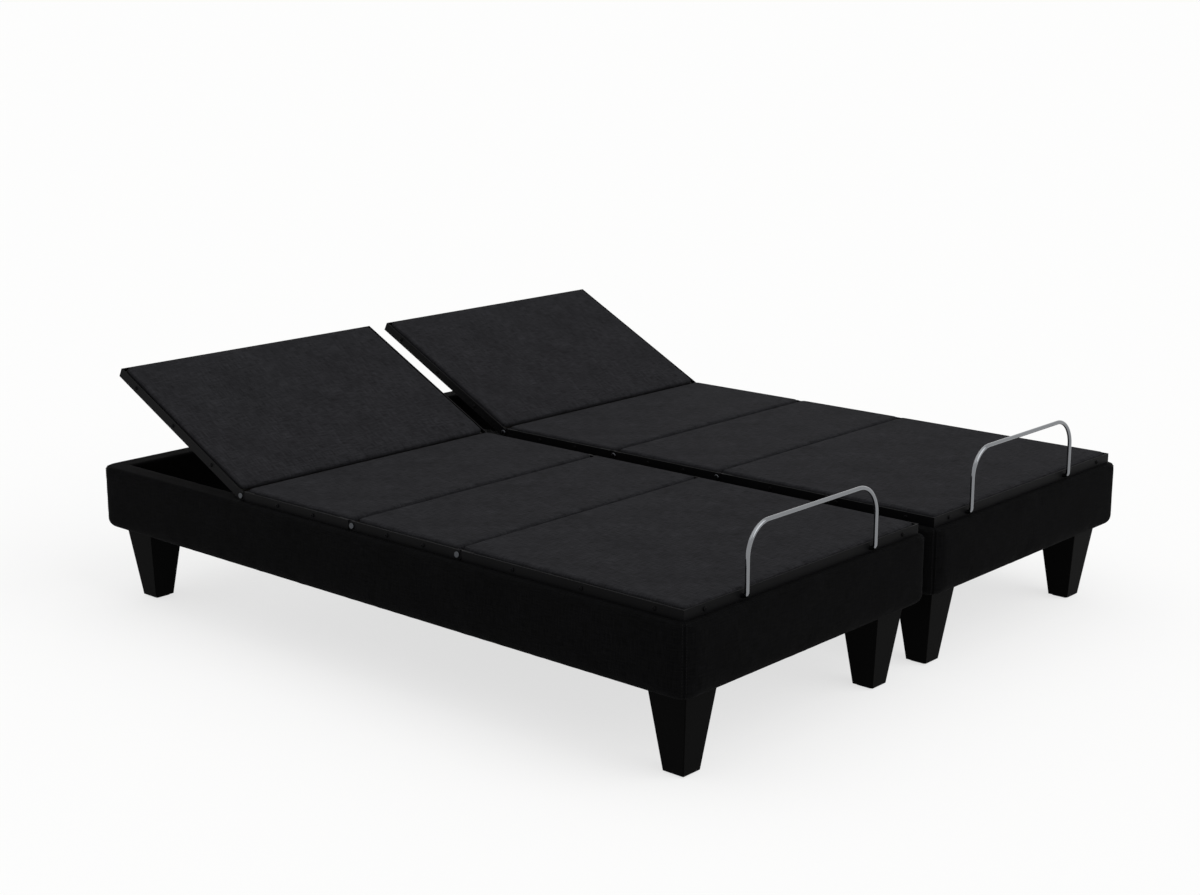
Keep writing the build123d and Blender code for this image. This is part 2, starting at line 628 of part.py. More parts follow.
def seat_section():
    angle = side_angle((THIGH_HINGE_Y, "inner"), (HEAD_HINGE_Y, "inner"))
    frame = both_sides(angle)
    end_x = INNER_X - END_PLATE_T
    reach = LEVER_TUBE_AT + TUBE
    for y in (THIGH_HINGE_Y + reach, HEAD_HINGE_Y - reach):
        plate = span_box(end_x, INNER_X, y - TUBE, y + TUBE, TUBE_Z - TUBE, TUBE_Z + TUBE / 2)
        frame += [box_tube(-end_x, end_x, y, TUBE_Z, TUBE, TUBE_WALL)] + both_sides(plate)
    span = (THIGH_HINGE_Y + fold_setback(THIGH_SWING), HEAD_HINGE_Y - fold_setback(HEAD_SWING))
    pins = both_sides(hinge_pin(HEAD_HINGE_Y)) + both_sides(hinge_pin(THIGH_HINGE_Y))
    return {"seat_frame": frame, "seat_board": [deck_board(*span)], "seat_pad": [deck_pad(*span)],
            "seat_hinge_pins": pins}


def thigh_section():
    angle = side_angle((KNEE_Y, "outer"), (THIGH_HINGE_Y, "outer"))
    frame = both_sides(angle)
    frame += [cross_tube(THIGH_HINGE_Y - LEVER_TUBE_AT), cross_tube(KNEE_Y + LEVER_TUBE_AT)]
    frame += lever_plates(THIGH_HINGE_Y, THIGH_SWING, -1, DRIVE_X)
    span = (KNEE_Y + KNEE_GAP, THIGH_HINGE_Y - fold_setback(THIGH_SWING))
    return {"thigh_frame": frame, "thigh_board": [deck_board(*span)], "thigh_pad": [deck_pad(*span)]}


def calf_section(offset):
    angle = side_angle((FOOT_END_Y, None), (KNEE_Y, "inner"))
    front = end_angle(FOOT_END_Y, 1)
    span = (FOOT_END_Y + STEEL_T + SIDE_GAP, KNEE_Y - KNEE_GAP)
    board = deck_board(*span)
    sockets = []
    for x in bar_feet(offset):
        front -= rod_along_y(BAR_R + BAR_CLEAR, x, FOOT_END_Y - 1, FOOT_END_Y + STEEL_T + 1, BAR_Z)
        slot = SOCKET_R + SIDE_GAP
        board -= span_box(x - slot, x + slot, FOOT_END_Y, FOOT_END_Y + BAR_INSERT + 2 * slot, BOARD_Z, PAD_Z)
        sockets.append(bar_socket(x))
    frame = both_sides(angle) + [front] + sockets + both_sides(calf_bracket())
    for y in (KNEE_Y - LEVER_TUBE_AT, CALF_PIVOT[0], FOOT_END_Y + FOOT_TUBE_AT):
        frame.append(cross_tube(y))
    pins = both_sides(hinge_pin(KNEE_Y)) + both_sides(calf_link_pin())
    return {"calf_frame": frame, "calf_board": [board], "calf_pad": [deck_pad(*span)], "calf_pins": pins,
            "retainer_bar": [retainer_bar(offset)]}


def one_base(side):
    """Every solid of one base about its own centre, under its node name."""
    nodes = {}
    rails = box_rails()
    nodes["box_frame"] = mitred(rails)
    nodes["box_cover"] = mitred(box_cover(rails))
    for name, (x, y) in leg_places().items():
        nodes[name] = [Pos(x, y, 0) * leg()]
    raise_axis = Axis((0, HEAD_HINGE_Y, HINGE_Z), (1, 0, 0))
    for name, solids in head_section().items():
        nodes[name] = [solid.rotate(raise_axis, HEAD_REST) for solid in solids]
    nodes.update(seat_section())
    nodes.update(thigh_section())
    nodes.update(calf_section(BAR_OFFSET[side]))
    nodes["calf_links"] = both_sides(calf_link())
    head_mouth = mouth_place(HEAD_HINGE_Y, HEAD_SWING, 1)
    leg_mouth = mouth_place(THIGH_HINGE_Y, THIGH_SWING, -1)
    nodes["head_drive"] = [Pos(-DRIVE_X, head_mouth, ROD_Z) * solid for solid in drive()]
    nodes["leg_drive"] = [Pos(DRIVE_X, leg_mouth, ROD_Z) * Rot(0, 0, 180) * solid for solid in drive()]
    nodes["head_push_rod"] = push_rod(HEAD_HINGE_Y, HEAD_SWING, HEAD_REST, 1, -DRIVE_X)
    nodes["leg_push_rod"] = push_rod(THIGH_HINGE_Y, THIGH_SWING, 0, -1, DRIVE_X)
    return nodes


def shared_pieces():
    """Pieces of one base that share a node with those of the other base."""
    head_beam = housing_place(HEAD_HINGE_Y, HEAD_SWING, 1)
    leg_beam = housing_place(THIGH_HINGE_Y, THIGH_SWING, -1)
    places = leg_places().values()
    return {
        "corner_blocks": [corner_block(x, y) for x, y in places],
        "leg_bolts": [Pos(x, y, 0) * leg_bolt() for x, y in places],
        "leg_glides": [Pos(x, y, 0) * leg_glide() for x, y in places],
        "drive_beams": drive_beam(head_beam) + drive_beam(leg_beam),
        "drive_mounts": drive_mounts(head_beam, head_beam, -DRIVE_X, DRIVE_X)
        + drive_mounts(leg_beam, leg_beam, DRIVE_X, -DRIVE_X),
        "link_studs": both_sides(link_stud()),
        "control_boxes": [control_box((head_beam + leg_beam) / 2)],
    }


def save(node, shapes):
    solids = [solid for shape in shapes for solid in shape.solids()]
    export_step(Compound(solids), f"parts/{node}.step")


os.makedirs("parts", exist_ok=True)
shared = {}
for side, way in (("left", -1), ("right", 1)):
    place = Pos(way * PITCH / 2, 0, 0)
    for name, shapes in one_base(side).items():
        save(f"{side}_{name}", [place * shape for shape in shapes])
    for name, shapes in shared_pieces().items():
        shared[name] = shared.get(name, []) + [place * shape for shape in shapes]
for name, shapes in shared.items():
    save(name, shapes)
save("joining_plates", [joining_plate(JOIN_PLATE_AT), joining_plate(-JOIN_PLATE_AT)])
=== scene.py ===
import math

import bpy
import numpy as np
from mathutils import Matrix, Vector


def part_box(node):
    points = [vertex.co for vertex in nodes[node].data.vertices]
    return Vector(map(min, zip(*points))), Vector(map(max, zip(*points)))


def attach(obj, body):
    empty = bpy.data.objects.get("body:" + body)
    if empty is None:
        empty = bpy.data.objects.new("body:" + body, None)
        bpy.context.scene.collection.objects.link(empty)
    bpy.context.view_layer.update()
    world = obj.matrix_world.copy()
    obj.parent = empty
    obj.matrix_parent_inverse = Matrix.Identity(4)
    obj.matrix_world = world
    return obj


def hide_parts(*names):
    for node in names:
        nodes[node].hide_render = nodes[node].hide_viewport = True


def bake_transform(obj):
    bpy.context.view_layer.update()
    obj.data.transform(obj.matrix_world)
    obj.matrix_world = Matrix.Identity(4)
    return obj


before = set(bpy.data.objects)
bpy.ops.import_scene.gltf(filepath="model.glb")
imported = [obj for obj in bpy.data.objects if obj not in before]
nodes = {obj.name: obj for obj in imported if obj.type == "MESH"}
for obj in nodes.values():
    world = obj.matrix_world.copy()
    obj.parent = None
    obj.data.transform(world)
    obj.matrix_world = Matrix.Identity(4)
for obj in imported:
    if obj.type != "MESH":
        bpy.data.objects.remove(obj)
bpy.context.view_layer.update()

# Looks of a twin adjustable bed base, in the frame of the solids.
# Covers and deck pads are made here; the rigid pieces keep their solids and get their finish here.
# Lengths are in metres and angles in degrees; the camera's lens and film are in millimetres.

# Camera and light
CAMERA_AT = (-3.786, -3.3302, 1.6181)
CAMERA_TURN = -48.3343
CAMERA_DOWN = 13.498
CAMERA_LENS = 58.75
FILM_WIDTH = 36.0
AROUND_LIGHT = 0.55
KEY_LIGHT = 1.1
KEY_FROM = (1.2, -4.4, 3.6)
KEY_SPREAD = 50
TOP_LIGHT = 0.8
TOP_FROM = (-0.8, 0.6, 5.0)
TOP_SPREAD = 80
FLOOR_SIZE = 400
FLOOR_DROP = 0.0005
FLOOR_GLOW = 0.7

# Upholstered box: its edges and wall, and the steps of the grid that its cloth is made on
CORNER_R = 0.043
BOTTOM_EDGE_R = 0.024
TOP_EDGE_R = 0.012
INNER_EDGE_R = 0.009
LEAST_CORNER_R = 0.004
WALL = 0.063
INNER_FOOT = 0.002
EDGE_DEGREES = (15, 30, 45, 60, 75, 90)
BOTTOM_INSETS = (WALL - INNER_FOOT, 0.05, 0.037, BOTTOM_EDGE_R)
TOP_INSETS = (0.022, 0.033, 0.044)
FACE_ROWS = 10
INNER_ROWS = 5
COVER_STEP = 0.02

# Swelling of the cover: the cloth is held underneath, on top and along its seams, and let go round the edges
COVER_PRESSURE = 3.0
COVER_SWELL = 0.0035
LET_GO_RADIANS = 1.6
SEAM_HOLD = 14

# Corner seams: the groove, the lip beside it, small gathers, and a row of stitches on each side
SEAM_TURN = 45
SEAM_DEGREES = (0, 12, 24, 33, 39, 42, 43.6, SEAM_TURN, 46.4, 48, 51, 57, 66, 78, 90)
SEAM_INSET = 0.03
SEAM_DEPTH = 0.0022
SEAM_HALF = 0.0016
LIP_RISE = 0.0008
LIP_AT = 0.005
LIP_HALF = 0.003
GATHER_RISE = 0.0004
GATHER_PITCH = 0.022
GATHER_HALF = 0.014
STITCH_DEGREES = (39, 51)
STITCH_INSET = 0.015
STITCH_PITCH = 0.0065
STITCH_MARGIN = 0.004

# Deck sections, and the pads on them: each row of a pad's edge is its inset and its rise
SECTIONS = ("head", "seat", "thigh", "calf")
HEAD_HINGE = Vector((0, 0.431, 0.3763))
HEAD_REST = 27.1
PAD_EDGE = ((0.0, 0.0), (0.0, 0.004), (0.0006, 0.0072), (0.0024, 0.0100), (0.0056, 0.0116), (0.010, 0.012))
PAD_CORNER_R = 0.012
PAD_STEP = 0.016
PAD_PRESSURE = 4.0
PAD_SWELL = 0.0028
PAD_EDGE_HOLD = 0.6

# Cloth simulation: its steps, a length that counts as none, and how near two points are the same
CLOTH_STEPS = 20
NO_LENGTH = 1e-9
SAME_POINT = 0.00002

# Strips of cloth in the folds: how far they stop short of the boards' edges, their sag and their ripple
STRIP_SHORT = 0.004
STRIP_ROWS = 9
STRIP_COLUMNS = 61
STRIP_SAG = 0.003
STRIP_RIPPLE = 0.0004
STRIP_RIPPLE_X = 0.021
STRIP_T = 0.001

# Frames of the sections: half widths, heights, and places of cross tubes and screws
DECK_HALF = 0.428
TUBE_HALF = 0.382
TUBE_MIDDLE = 0.3543
TUBE_UNDER = 0.3443
TUBE_Y = {
    "head": (0.467, 0.863),
    "seat": (0.076, 0.375),
    "thigh": (-0.016, -0.294),
    "calf": (-0.366, -0.55, -0.843),
}
TUBE_SCREW_X = (-0.33, -0.2, 0.2, 0.33)
EDGE_SCREW_Y = {
    "head": (0.56, 0.73, 0.898),
    "seat": (0.16, 0.29),
    "thigh": (-0.1, -0.22),
    "calf": (-0.5, -0.7, -0.9),
}
END_Y = {"head": 0.971, "calf": -0.978}
END_SCREW_X = (-0.363, 0.363)

# Plates inside and between the boxes: where they are, and half the step between their bolts
PLATE_X = 0.383
BEAM_Y = (0.1197, 0.311)
BEAM_BOLT_Z = 0.2493
BEAM_BOLT_STEP = 0.018
SEAT_BOLT_Z = 0.35
SEAT_BOLT_STEP = 0.0145
LINK_PLATE = (-0.2, 0.3163)
LINK_BOLT_STEP = 0.019
JOIN_Y = (-0.62, 0.62)
JOIN_UNDER = 0.193
JOIN_BOLT_X = 0.05
JOIN_BOLT_STEP = 0.015

# Small fasteners: radius or width, then height; length and radius of a stitch; the bend shown as round
SCREW_HEAD = (0.0048, 0.003)
BOLT_HEAD = (0.0052, 0.0036)
TUBE_PLUG = (0.0199, 0.002)
STITCH = (0.0046, 0.00055)
ROUND_TO = 35

# Drives: bare length of the guide tube, and half the housing's width with its rim
GUIDE_BARE = 0.154
HOUSING_HALF = 0.038

# Cloths: thread as drawn, thick and thin yarn, and patches of nap
THREAD = 0.0016
SLUB_LENGTH = 0.034
SLUB_WIDTH = 0.0026
NAP_PATCH = 0.11

# One band of a wave texture at scale 1
WAVE_BAND = math.pi / 10


# Small helpers

def only(piece):
    """Makes this the one selected and active object."""
    for other in bpy.context.selected_objects:
        other.select_set(False)
    bpy.context.view_layer.objects.active = piece
    piece.select_set(True)


def pick(piece, face=None, edge=None):
    """Goes to edit mode with the faces, or the edges, that pass a test selected."""
    bpy.ops.object.mode_set(mode="OBJECT")
    mesh = piece.data
    for item in (*mesh.vertices, *mesh.edges, *mesh.polygons):
        item.select = False
    for polygon in mesh.polygons:
        polygon.select = bool(face) and face(polygon)
    if edge:
        for item in mesh.edges:
            ends = [mesh.vertices[i].co for i in item.vertices]
            item.select = edge(*ends)
    bpy.ops.object.mode_set(mode="EDIT")
    bpy.ops.mesh.select_mode(type="EDGE" if edge else "FACE")


def middle_of(side):
    """Middle of one base across the bed."""
    low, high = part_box(f"{side}_box_cover")
    return (low.x + high.x) / 2


def section_turn(section, way):
    """Turn of a section from flat to how it stands at rest, or back where way is -1."""
    tilt = math.radians(way * HEAD_REST if section == "head" else 0)
    return Matrix.Translation(HEAD_HINGE) @ Matrix.Rotation(tilt, 4, "X") @ Matrix.Translation(-HEAD_HINGE)


def body_of(side, section):
    """Body that a section's pieces ride on; the seat is fixed to the base."""
    return "base" if section == "seat" else f"{side}_{section}"


def lengths_along(points):
    """How far along a row of points each one lies."""
    steps = [(b - a).length for a, b in zip(points, points[1:])]
    return np.cumsum([0.0, *steps])


def grid_faces(tall, wide, closed=False):
    """Faces of a grid of points, row by row; a closed grid joins its last row and column to its first."""
    faces = []
    for r in range(tall if closed else tall - 1):
        for c in range(wide if closed else wide - 1):
            below, above = r * wide, (r + 1) % tall * wide
            beside = (c + 1) % wide
            faces.append((below + c, below + beside, above + beside, above + c))
    return faces


def mesh_piece(name, points, faces):
    """A new piece from the points and faces of a cloth's grid."""
    mesh = bpy.data.meshes.new(name)
    mesh.from_pydata(points, [], faces)
    mesh.update()
    piece = bpy.data.objects.new(name, mesh)
    bpy.context.scene.collection.objects.link(piece)
    return piece


def lay_cloth(piece, flat):
    """Maps each point of a piece to its place on the flat cloth."""
    layer = piece.data.uv_layers.new(name="cloth")
    for polygon in piece.data.polygons:
        for loop, vertex in zip(polygon.loop_indices, polygon.vertices):
            layer.data[loop].uv = flat[vertex]


def copy_piece(piece, name, place):
    """A copy with its own mesh, put at a place in the mesh."""
    twin = piece.copy()
    twin.data = piece.data.copy()
    twin.data.transform(place)
    twin.name = name
    bpy.context.scene.collection.objects.link(twin)
    return twin


# Materials

def linear(colour):
    """A linear colour from an sRGB hex value."""
    shares = [int(colour[i:i + 2], 16) / 255 for i in (1, 3, 5)]
    return (*[c / 12.92 if c <= 0.04045 else ((c + 0.055) / 1.055) ** 2.4 for c in shares], 1)


def add(tree, kind, links=None, **settings):
    """Adds a node, sets it, and links or sets its sockets."""
    made = tree.nodes.new("ShaderNode" + kind)
    for name, value in settings.items():
        setattr(made, name, value)
    for socket, value in (links or {}).items():
        if isinstance(value, bpy.types.NodeSocket):
            tree.links.new(value, made.inputs[socket])
        else:
            made.inputs[socket].default_value = value
    return made


def finish_of(name, **sockets):
    """A new material, its tree and its shader, with even values set on the shader."""
    material = bpy.data.materials.new(name)
    material.use_nodes = True
    tree = material.node_tree
    shader = tree.nodes["Principled BSDF"]
    for socket, value in sockets.items():
        shader.inputs[socket.replace("_", " ")].default_value = value
    return material, tree, shader


def woven_polyester(name, dark, pale, thread):
    """Plain-woven upholstery cloth: matt, with crossed threads, uneven yarn and a faintly brushed nap."""
    material, tree, shader = finish_of(name, Roughness=0.92, Specular_IOR_Level=0.03)
    place = add(tree, "TexCoord").outputs["UV"]
    across = add(tree, "TexWave", {"Vector": place, "Scale": WAVE_BAND / (2 * thread)}, bands_direction="X")
    along = add(tree, "TexWave", {"Vector": place, "Scale": WAVE_BAND / (2 * thread)}, bands_direction="Y")
    apart = add(tree, "Math", {0: across.outputs["Fac"], 1: along.outputs["Fac"]}, operation="SUBTRACT")
    crossing = add(tree, "Math", {0: apart.outputs[0]}, operation="ABSOLUTE")
    slubs = []
    for run, width in ((SLUB_LENGTH, SLUB_WIDTH), (SLUB_WIDTH, SLUB_LENGTH)):
        drawn = add(tree, "Mapping", {"Vector": place, "Scale": (1 / run, 1 / width, 1)})
        slub = add(tree, "TexNoise", {"Vector": drawn.outputs[0], "Scale": 1.0, "Detail": 2.0})
        slubs.append(slub.outputs["Fac"])
    yarns = add(tree, "Math", {0: slubs[0], 1: slubs[1]}, operation="ADD")
    yarn = add(tree, "MapRange", {"Value": yarns.outputs[0], "From Min": 0.75, "From Max": 1.25})
    cloud = add(tree, "TexNoise", {"Vector": place, "Scale": 1 / NAP_PATCH, "Detail": 2.0})
    brushed = {"Value": cloud.outputs["Fac"], "From Min": 0.3, "From Max": 0.7, "To Min": 0.7}
    nap = add(tree, "MapRange", brushed)
    woven = add(tree, "Math", {0: crossing.outputs[0], 1: yarn.outputs[0]}, operation="ADD")
    tone = add(tree, "Math", {0: woven.outputs[0], 1: nap.outputs[0]}, operation="MULTIPLY")
    share = add(tree, "MapRange", {"Value": tone.outputs[0], "From Max": 1.8})
    colour = add(tree, "Mix", {0: share.outputs[0], 6: linear(dark), 7: linear(pale)}, data_type="RGBA")
    tree.links.new(colour.outputs[2], shader.inputs["Base Color"])
    bump = add(tree, "Bump", {"Height": woven.outputs[0], "Strength": 0.4, "Distance": thread * 0.2})
    tree.links.new(bump.outputs["Normal"], shader.inputs["Normal"])
    return material


def lacquered_beech(name, dark, pale):
    """Black lacquer rubbed down on beech: satin, with the upright grain just felt through the film."""
    material, tree, shader = finish_of(name, Specular_IOR_Level=0.015)
    place = add(tree, "TexCoord").outputs["Object"]
    width, length = 0.004, 0.07
    stretched = add(tree, "Mapping", {"Vector": place, "Scale": (1 / width, 1 / width, 1 / length)})
    grain = add(tree, "TexNoise", {"Vector": stretched.outputs[0], "Scale": 1.0, "Detail": 4.0})
    colour = add(tree, "Mix", {0: grain.outputs["Fac"], 6: linear(dark), 7: linear(pale)}, data_type="RGBA")
    tree.links.new(colour.outputs[2], shader.inputs["Base Color"])
    gloss = add(tree, "MapRange", {"Value": grain.outputs["Fac"], "To Min": 0.4, "To Max": 0.55})
    tree.links.new(gloss.outputs[0], shader.inputs["Roughness"])
    bump = add(tree, "Bump", {"Height": grain.outputs["Fac"], "Strength": 0.25, "Distance": 0.0003})
    tree.links.new(bump.outputs["Normal"], shader.inputs["Normal"])
    return material


def grained_wood(name, pale, dark, along, roughness, tilt=0.0):
    """Sawn timber or veneer: long soft grain along one axis, turned where the board is tilted."""
    material, tree, shader = finish_of(name, Roughness=roughness, Specular_IOR_Level=0.12)
    place = add(tree, "TexCoord").outputs["Object"]
    turned = add(tree, "Mapping", {"Vector": place, "Rotation": (math.radians(-tilt), 0, 0)})
    width, length = 0.006, 0.18
    scale = [1 / (length if axis == along else width) for axis in "XYZ"]
    stretched = add(tree, "Mapping", {"Vector": turned.outputs[0], "Scale": scale})
    wandering = {"Vector": stretched.outputs[0], "Scale": 1.0, "Detail": 5.0, "Distortion": 0.6}
    grain = add(tree, "TexNoise", wandering)
    band = add(tree, "MapRange", {"Value": grain.outputs["Fac"], "From Min": 0.3, "From Max": 0.7})
    colour = add(tree, "Mix", {0: band.outputs[0], 6: linear(dark), 7: linear(pale)}, data_type="RGBA")
    tree.links.new(colour.outputs[2], shader.inputs["Base Color"])
    bump = add(tree, "Bump", {"Height": grain.outputs["Fac"], "Strength": 0.3, "Distance": 0.0004})
    tree.links.new(bump.outputs["Normal"], shader.inputs["Normal"])
    return material


def powder_coated_steel(name, dark, pale, roughness):
    """Baked powder coat: half matt, with the fine orange peel of melted powder and a faint cloudiness."""
    material, tree, shader = finish_of(name, Roughness=roughness, Specular_IOR_Level=0.045)
    place = add(tree, "TexCoord").outputs["Object"]
    peel_size, cloud_size = 0.0022, 0.09
    peel = add(tree, "TexNoise", {"Vector": place, "Scale": 1 / peel_size, "Detail": 2.0})
    cloud = add(tree, "TexNoise", {"Vector": place, "Scale": 1 / cloud_size, "Detail": 2.0})
    colour = add(tree, "Mix", {0: cloud.outputs["Fac"], 6: linear(dark), 7: linear(pale)}, data_type="RGBA")
    tree.links.new(colour.outputs[2], shader.inputs["Base Color"])
    bump = add(tree, "Bump", {"Height": peel.outputs["Fac"], "Strength": 0.18, "Distance": 0.0003})
    tree.links.new(bump.outputs["Normal"], shader.inputs["Normal"])
    return material


def bare_metal(name, colour, smooth, rough, mark):
    """Plated or drawn metal: full reflection, with patches that are a little duller than the rest."""
    material, tree, shader = finish_of(name, Base_Color=linear(colour), Metallic=1.0)
    place = add(tree, "TexCoord").outputs["Object"]
    haze = add(tree, "TexNoise", {"Vector": place, "Scale": 1 / mark, "Detail": 3.0})
    gloss = add(tree, "MapRange", {"Value": haze.outputs["Fac"], "To Min": smooth, "To Max": rough})
    tree.links.new(gloss.outputs[0], shader.inputs["Roughness"])
    bump = add(tree, "Bump", {"Height": haze.outputs["Fac"], "Strength": 0.03, "Distance": 0.0002})
    tree.links.new(bump.outputs["Normal"], shader.inputs["Normal"])
    return material


def moulded_plastic(name, dark, pale, spark):
    """Injection-moulded ABS or nylon with a spark-eroded face: an even fine grit and a soft sheen."""
    material, tree, shader = finish_of(name, Roughness=0.55, IOR=1.53, Specular_IOR_Level=0.4)
    place = add(tree, "TexCoord").outputs["Object"]
    grit = add(tree, "TexNoise", {"Vector": place, "Scale": 1 / spark, "Detail": 1.0})
    colour = add(tree, "Mix", {0: grit.outputs["Fac"], 6: linear(dark), 7: linear(pale)}, data_type="RGBA")
    tree.links.new(colour.outputs[2], shader.inputs["Base Color"])
    bump = add(tree, "Bump", {"Height": grit.outputs["Fac"], "Strength": 0.25, "Distance": 0.0003})
    tree.links.new(bump.outputs["Normal"], shader.inputs["Normal"])
    return material


def spun_thread(name, dark, pale, twist):
    """Spun polyester thread: nearly matt, with the slant of its twisted strands."""
    material, tree, shader = finish_of(name, Roughness=0.88, Specular_IOR_Level=0.06)
    place = add(tree, "TexCoord").outputs["Object"]
    slant = {"Vector": place, "Scale": WAVE_BAND / twist}
    strand = add(tree, "TexWave", slant, bands_direction="DIAGONAL").outputs["Fac"]
    colour = add(tree, "Mix", {0: strand, 6: linear(dark), 7: linear(pale)}, data_type="RGBA")
    tree.links.new(colour.outputs[2], shader.inputs["Base Color"])
    return material


# The cloth's real thread is 0.8 mm; it is drawn at 1.6 mm so that it shows in a render.
cover_cloth = woven_polyester("woven_polyester_black", "#020202", "#0f0f10", THREAD)
deck_cloth = woven_polyester("deck_polyester_charcoal", "#0d0d0e", "#323235", THREAD)
leg_lacquer = lacquered_beech("lacquered_beech_black", "#020202", "#070707")
rail_pine = grained_wood("sawn_pine", "#c9a878", "#a97f4e", "Y", 0.75)
flat_ply = grained_wood("stained_plywood_black", "#1b1916", "#100f0d", "X", 0.6)
tilted_ply = grained_wood("stained_plywood_black_tilted", "#1b1916", "#100f0d", "X", 0.6, HEAD_REST)
frame_coat = powder_coated_steel("powder_coated_steel_black", "#050506", "#0b0b0c", 0.5)
zinc_steel = bare_metal("zinc_plated_steel", "#b9bbbd", 0.26, 0.42, 0.012)
pin_steel = bare_metal("burnished_steel", "#414346", 0.2, 0.36, 0.012)
guide_aluminium = bare_metal("drawn_aluminium", "#a8aaac", 0.3, 0.45, 0.02)
motor_steel = bare_metal("blackened_steel", "#2c2d2f", 0.34, 0.5, 0.01)
bar_chrome = bare_metal("chromed_steel_rod", "#7c7e81", 0.09, 0.16, 0.02)
drive_plastic = moulded_plastic("moulded_abs_charcoal", "#1a1b1d", "#232427", 0.0018)
control_plastic = moulded_plastic("moulded_abs_black", "#111213", "#18191b", 0.0018)
glide_plastic = moulded_plastic("moulded_nylon_grey", "#2a2a2b", "#363638", 0.0015)
seam_thread = spun_thread("polyester_thread_black", "#0a0a0a", "#1c1c1d", 0.0008)


# Finish of the solids that stay

CAD_FINISH = {
    "box_frame": rail_pine,
    "leg_head_left": leg_lacquer,
    "leg_head_right": leg_lacquer,
    "leg_foot_left": leg_lacquer,
    "leg_foot_right": leg_lacquer,
    "head_frame": frame_coat,
    "seat_frame": frame_coat,
    "thigh_frame": frame_coat,
    "calf_frame": frame_coat,
    "head_board": tilted_ply,
    "seat_board": flat_ply,
    "thigh_board": flat_ply,
    "calf_board": flat_ply,
    "seat_hinge_pins": pin_steel,
    "calf_pins": pin_steel,
    "retainer_bar": bar_chrome,
    "calf_links": frame_coat,
    "head_drive": drive_plastic,
    "leg_drive": drive_plastic,
    "head_push_rod": zinc_steel,
    "leg_push_rod": zinc_steel,
    "corner_blocks": rail_pine,
    "leg_bolts": zinc_steel,
    "leg_glides": glide_plastic,
    "drive_beams": frame_coat,
    "drive_mounts": frame_coat,
    "link_studs": pin_steel,
    "control_boxes": control_plastic,
    "joining_plates": frame_coat,
}
for node, solid in nodes.items():
    name = node.removeprefix("left_").removeprefix("right_")
    if name in CAD_FINISH:
        solid.data.materials.clear()
        solid.data.materials.append(CAD_FINISH[name])


def face_drive(side, section):
    """Gives a drive's guide tube and motor can their own metals; its housing and nose stay moulded."""
    drive, rod = f"{side}_{section}_drive", f"{side}_{section}_push_rod"
    mesh = nodes[drive].data
    mesh.materials.append(guide_aluminium)
    mesh.materials.append(motor_steel)
    low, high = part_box(drive)
    rod_low, rod_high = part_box(rod)
    axis_x = (rod_low.x + rod_high.x) / 2
    way = math.copysign(1, rod_low.y + rod_high.y - low.y - high.y)
    mouth_y = high.y if way > 0 else low.y
    for polygon in mesh.polygons:
        if way * (mouth_y - polygon.center.y) < GUIDE_BARE:
            polygon.material_index = 1
        elif abs(polygon.center.x - axis_x) > HOUSING_HALF:
            polygon.material_index = 2


for side in ("left", "right"):
    for section in ("head", "leg"):
        face_drive(side, section)


# Swelling of padded pieces by cloth simulation

def swell(jobs):
    """Runs the cloth of every (piece, held weights, pressure, cap), all together, and applies it."""
    starts = []
    for piece, held, pressure, cap in jobs:
        group = piece.vertex_groups.new(name="held")
        for index, weight in enumerate(held):
            group.add([index], weight, "REPLACE")
        starts.append(np.array([v.co for v in piece.data.vertices]))
        cloth = piece.modifiers.new("cloth", "CLOTH")
        cloth.settings.vertex_group_mass = "held"
        cloth.settings.quality = 6
        cloth.settings.mass = 0.25
        cloth.settings.use_pressure = True
        cloth.settings.uniform_pressure_force = pressure
        cloth.settings.shrink_min = -0.006
        cloth.settings.bending_stiffness = 2.0
        cloth.settings.effector_weights.gravity = 0
        cloth.collision_settings.use_collision = False
        cloth.point_cache.frame_end = CLOTH_STEPS
    for step in range(1, CLOTH_STEPS + 1):
        bpy.context.scene.frame_set(step)
    for (piece, _, _, cap), start in zip(jobs, starts):
        only(piece)
        bpy.ops.object.modifier_apply(modifier="cloth")
        moved = np.array([v.co for v in piece.data.vertices]) - start
        reach = np.linalg.norm(moved, axis=1, keepdims=True) + NO_LENGTH
        placed = start + moved * cap * np.tanh(reach / cap) / reach
        piece.data.vertices.foreach_set("co", placed.ravel())
        piece.data.update()
        piece.vertex_groups.clear()
    bpy.context.scene.frame_set(1)


def refine(piece):
    """One round of subdivision; points that meet are merged, and an open underside is closed flat."""
    only(piece)
    smooth = piece.modifiers.new("smooth", "SUBSURF")
    smooth.levels = smooth.render_levels = 1
    smooth.boundary_smooth = "PRESERVE_CORNERS"
    bpy.ops.object.modifier_apply(modifier="smooth")
    bpy.ops.object.shade_smooth()
    bpy.ops.object.mode_set(mode="EDIT")
    bpy.ops.mesh.select_mode(type="EDGE")
    bpy.ops.mesh.select_all(action="SELECT")
    bpy.ops.mesh.remove_doubles(threshold=SAME_POINT)
    bpy.ops.mesh.select_all(action="DESELECT")
    bpy.ops.mesh.select_non_manifold()
    if piece.data.total_edge_sel:
        bpy.ops.mesh.edge_face_add()
        bpy.ops.mesh.poke()
    bpy.ops.object.mode_set(mode="OBJECT")


# Box covers

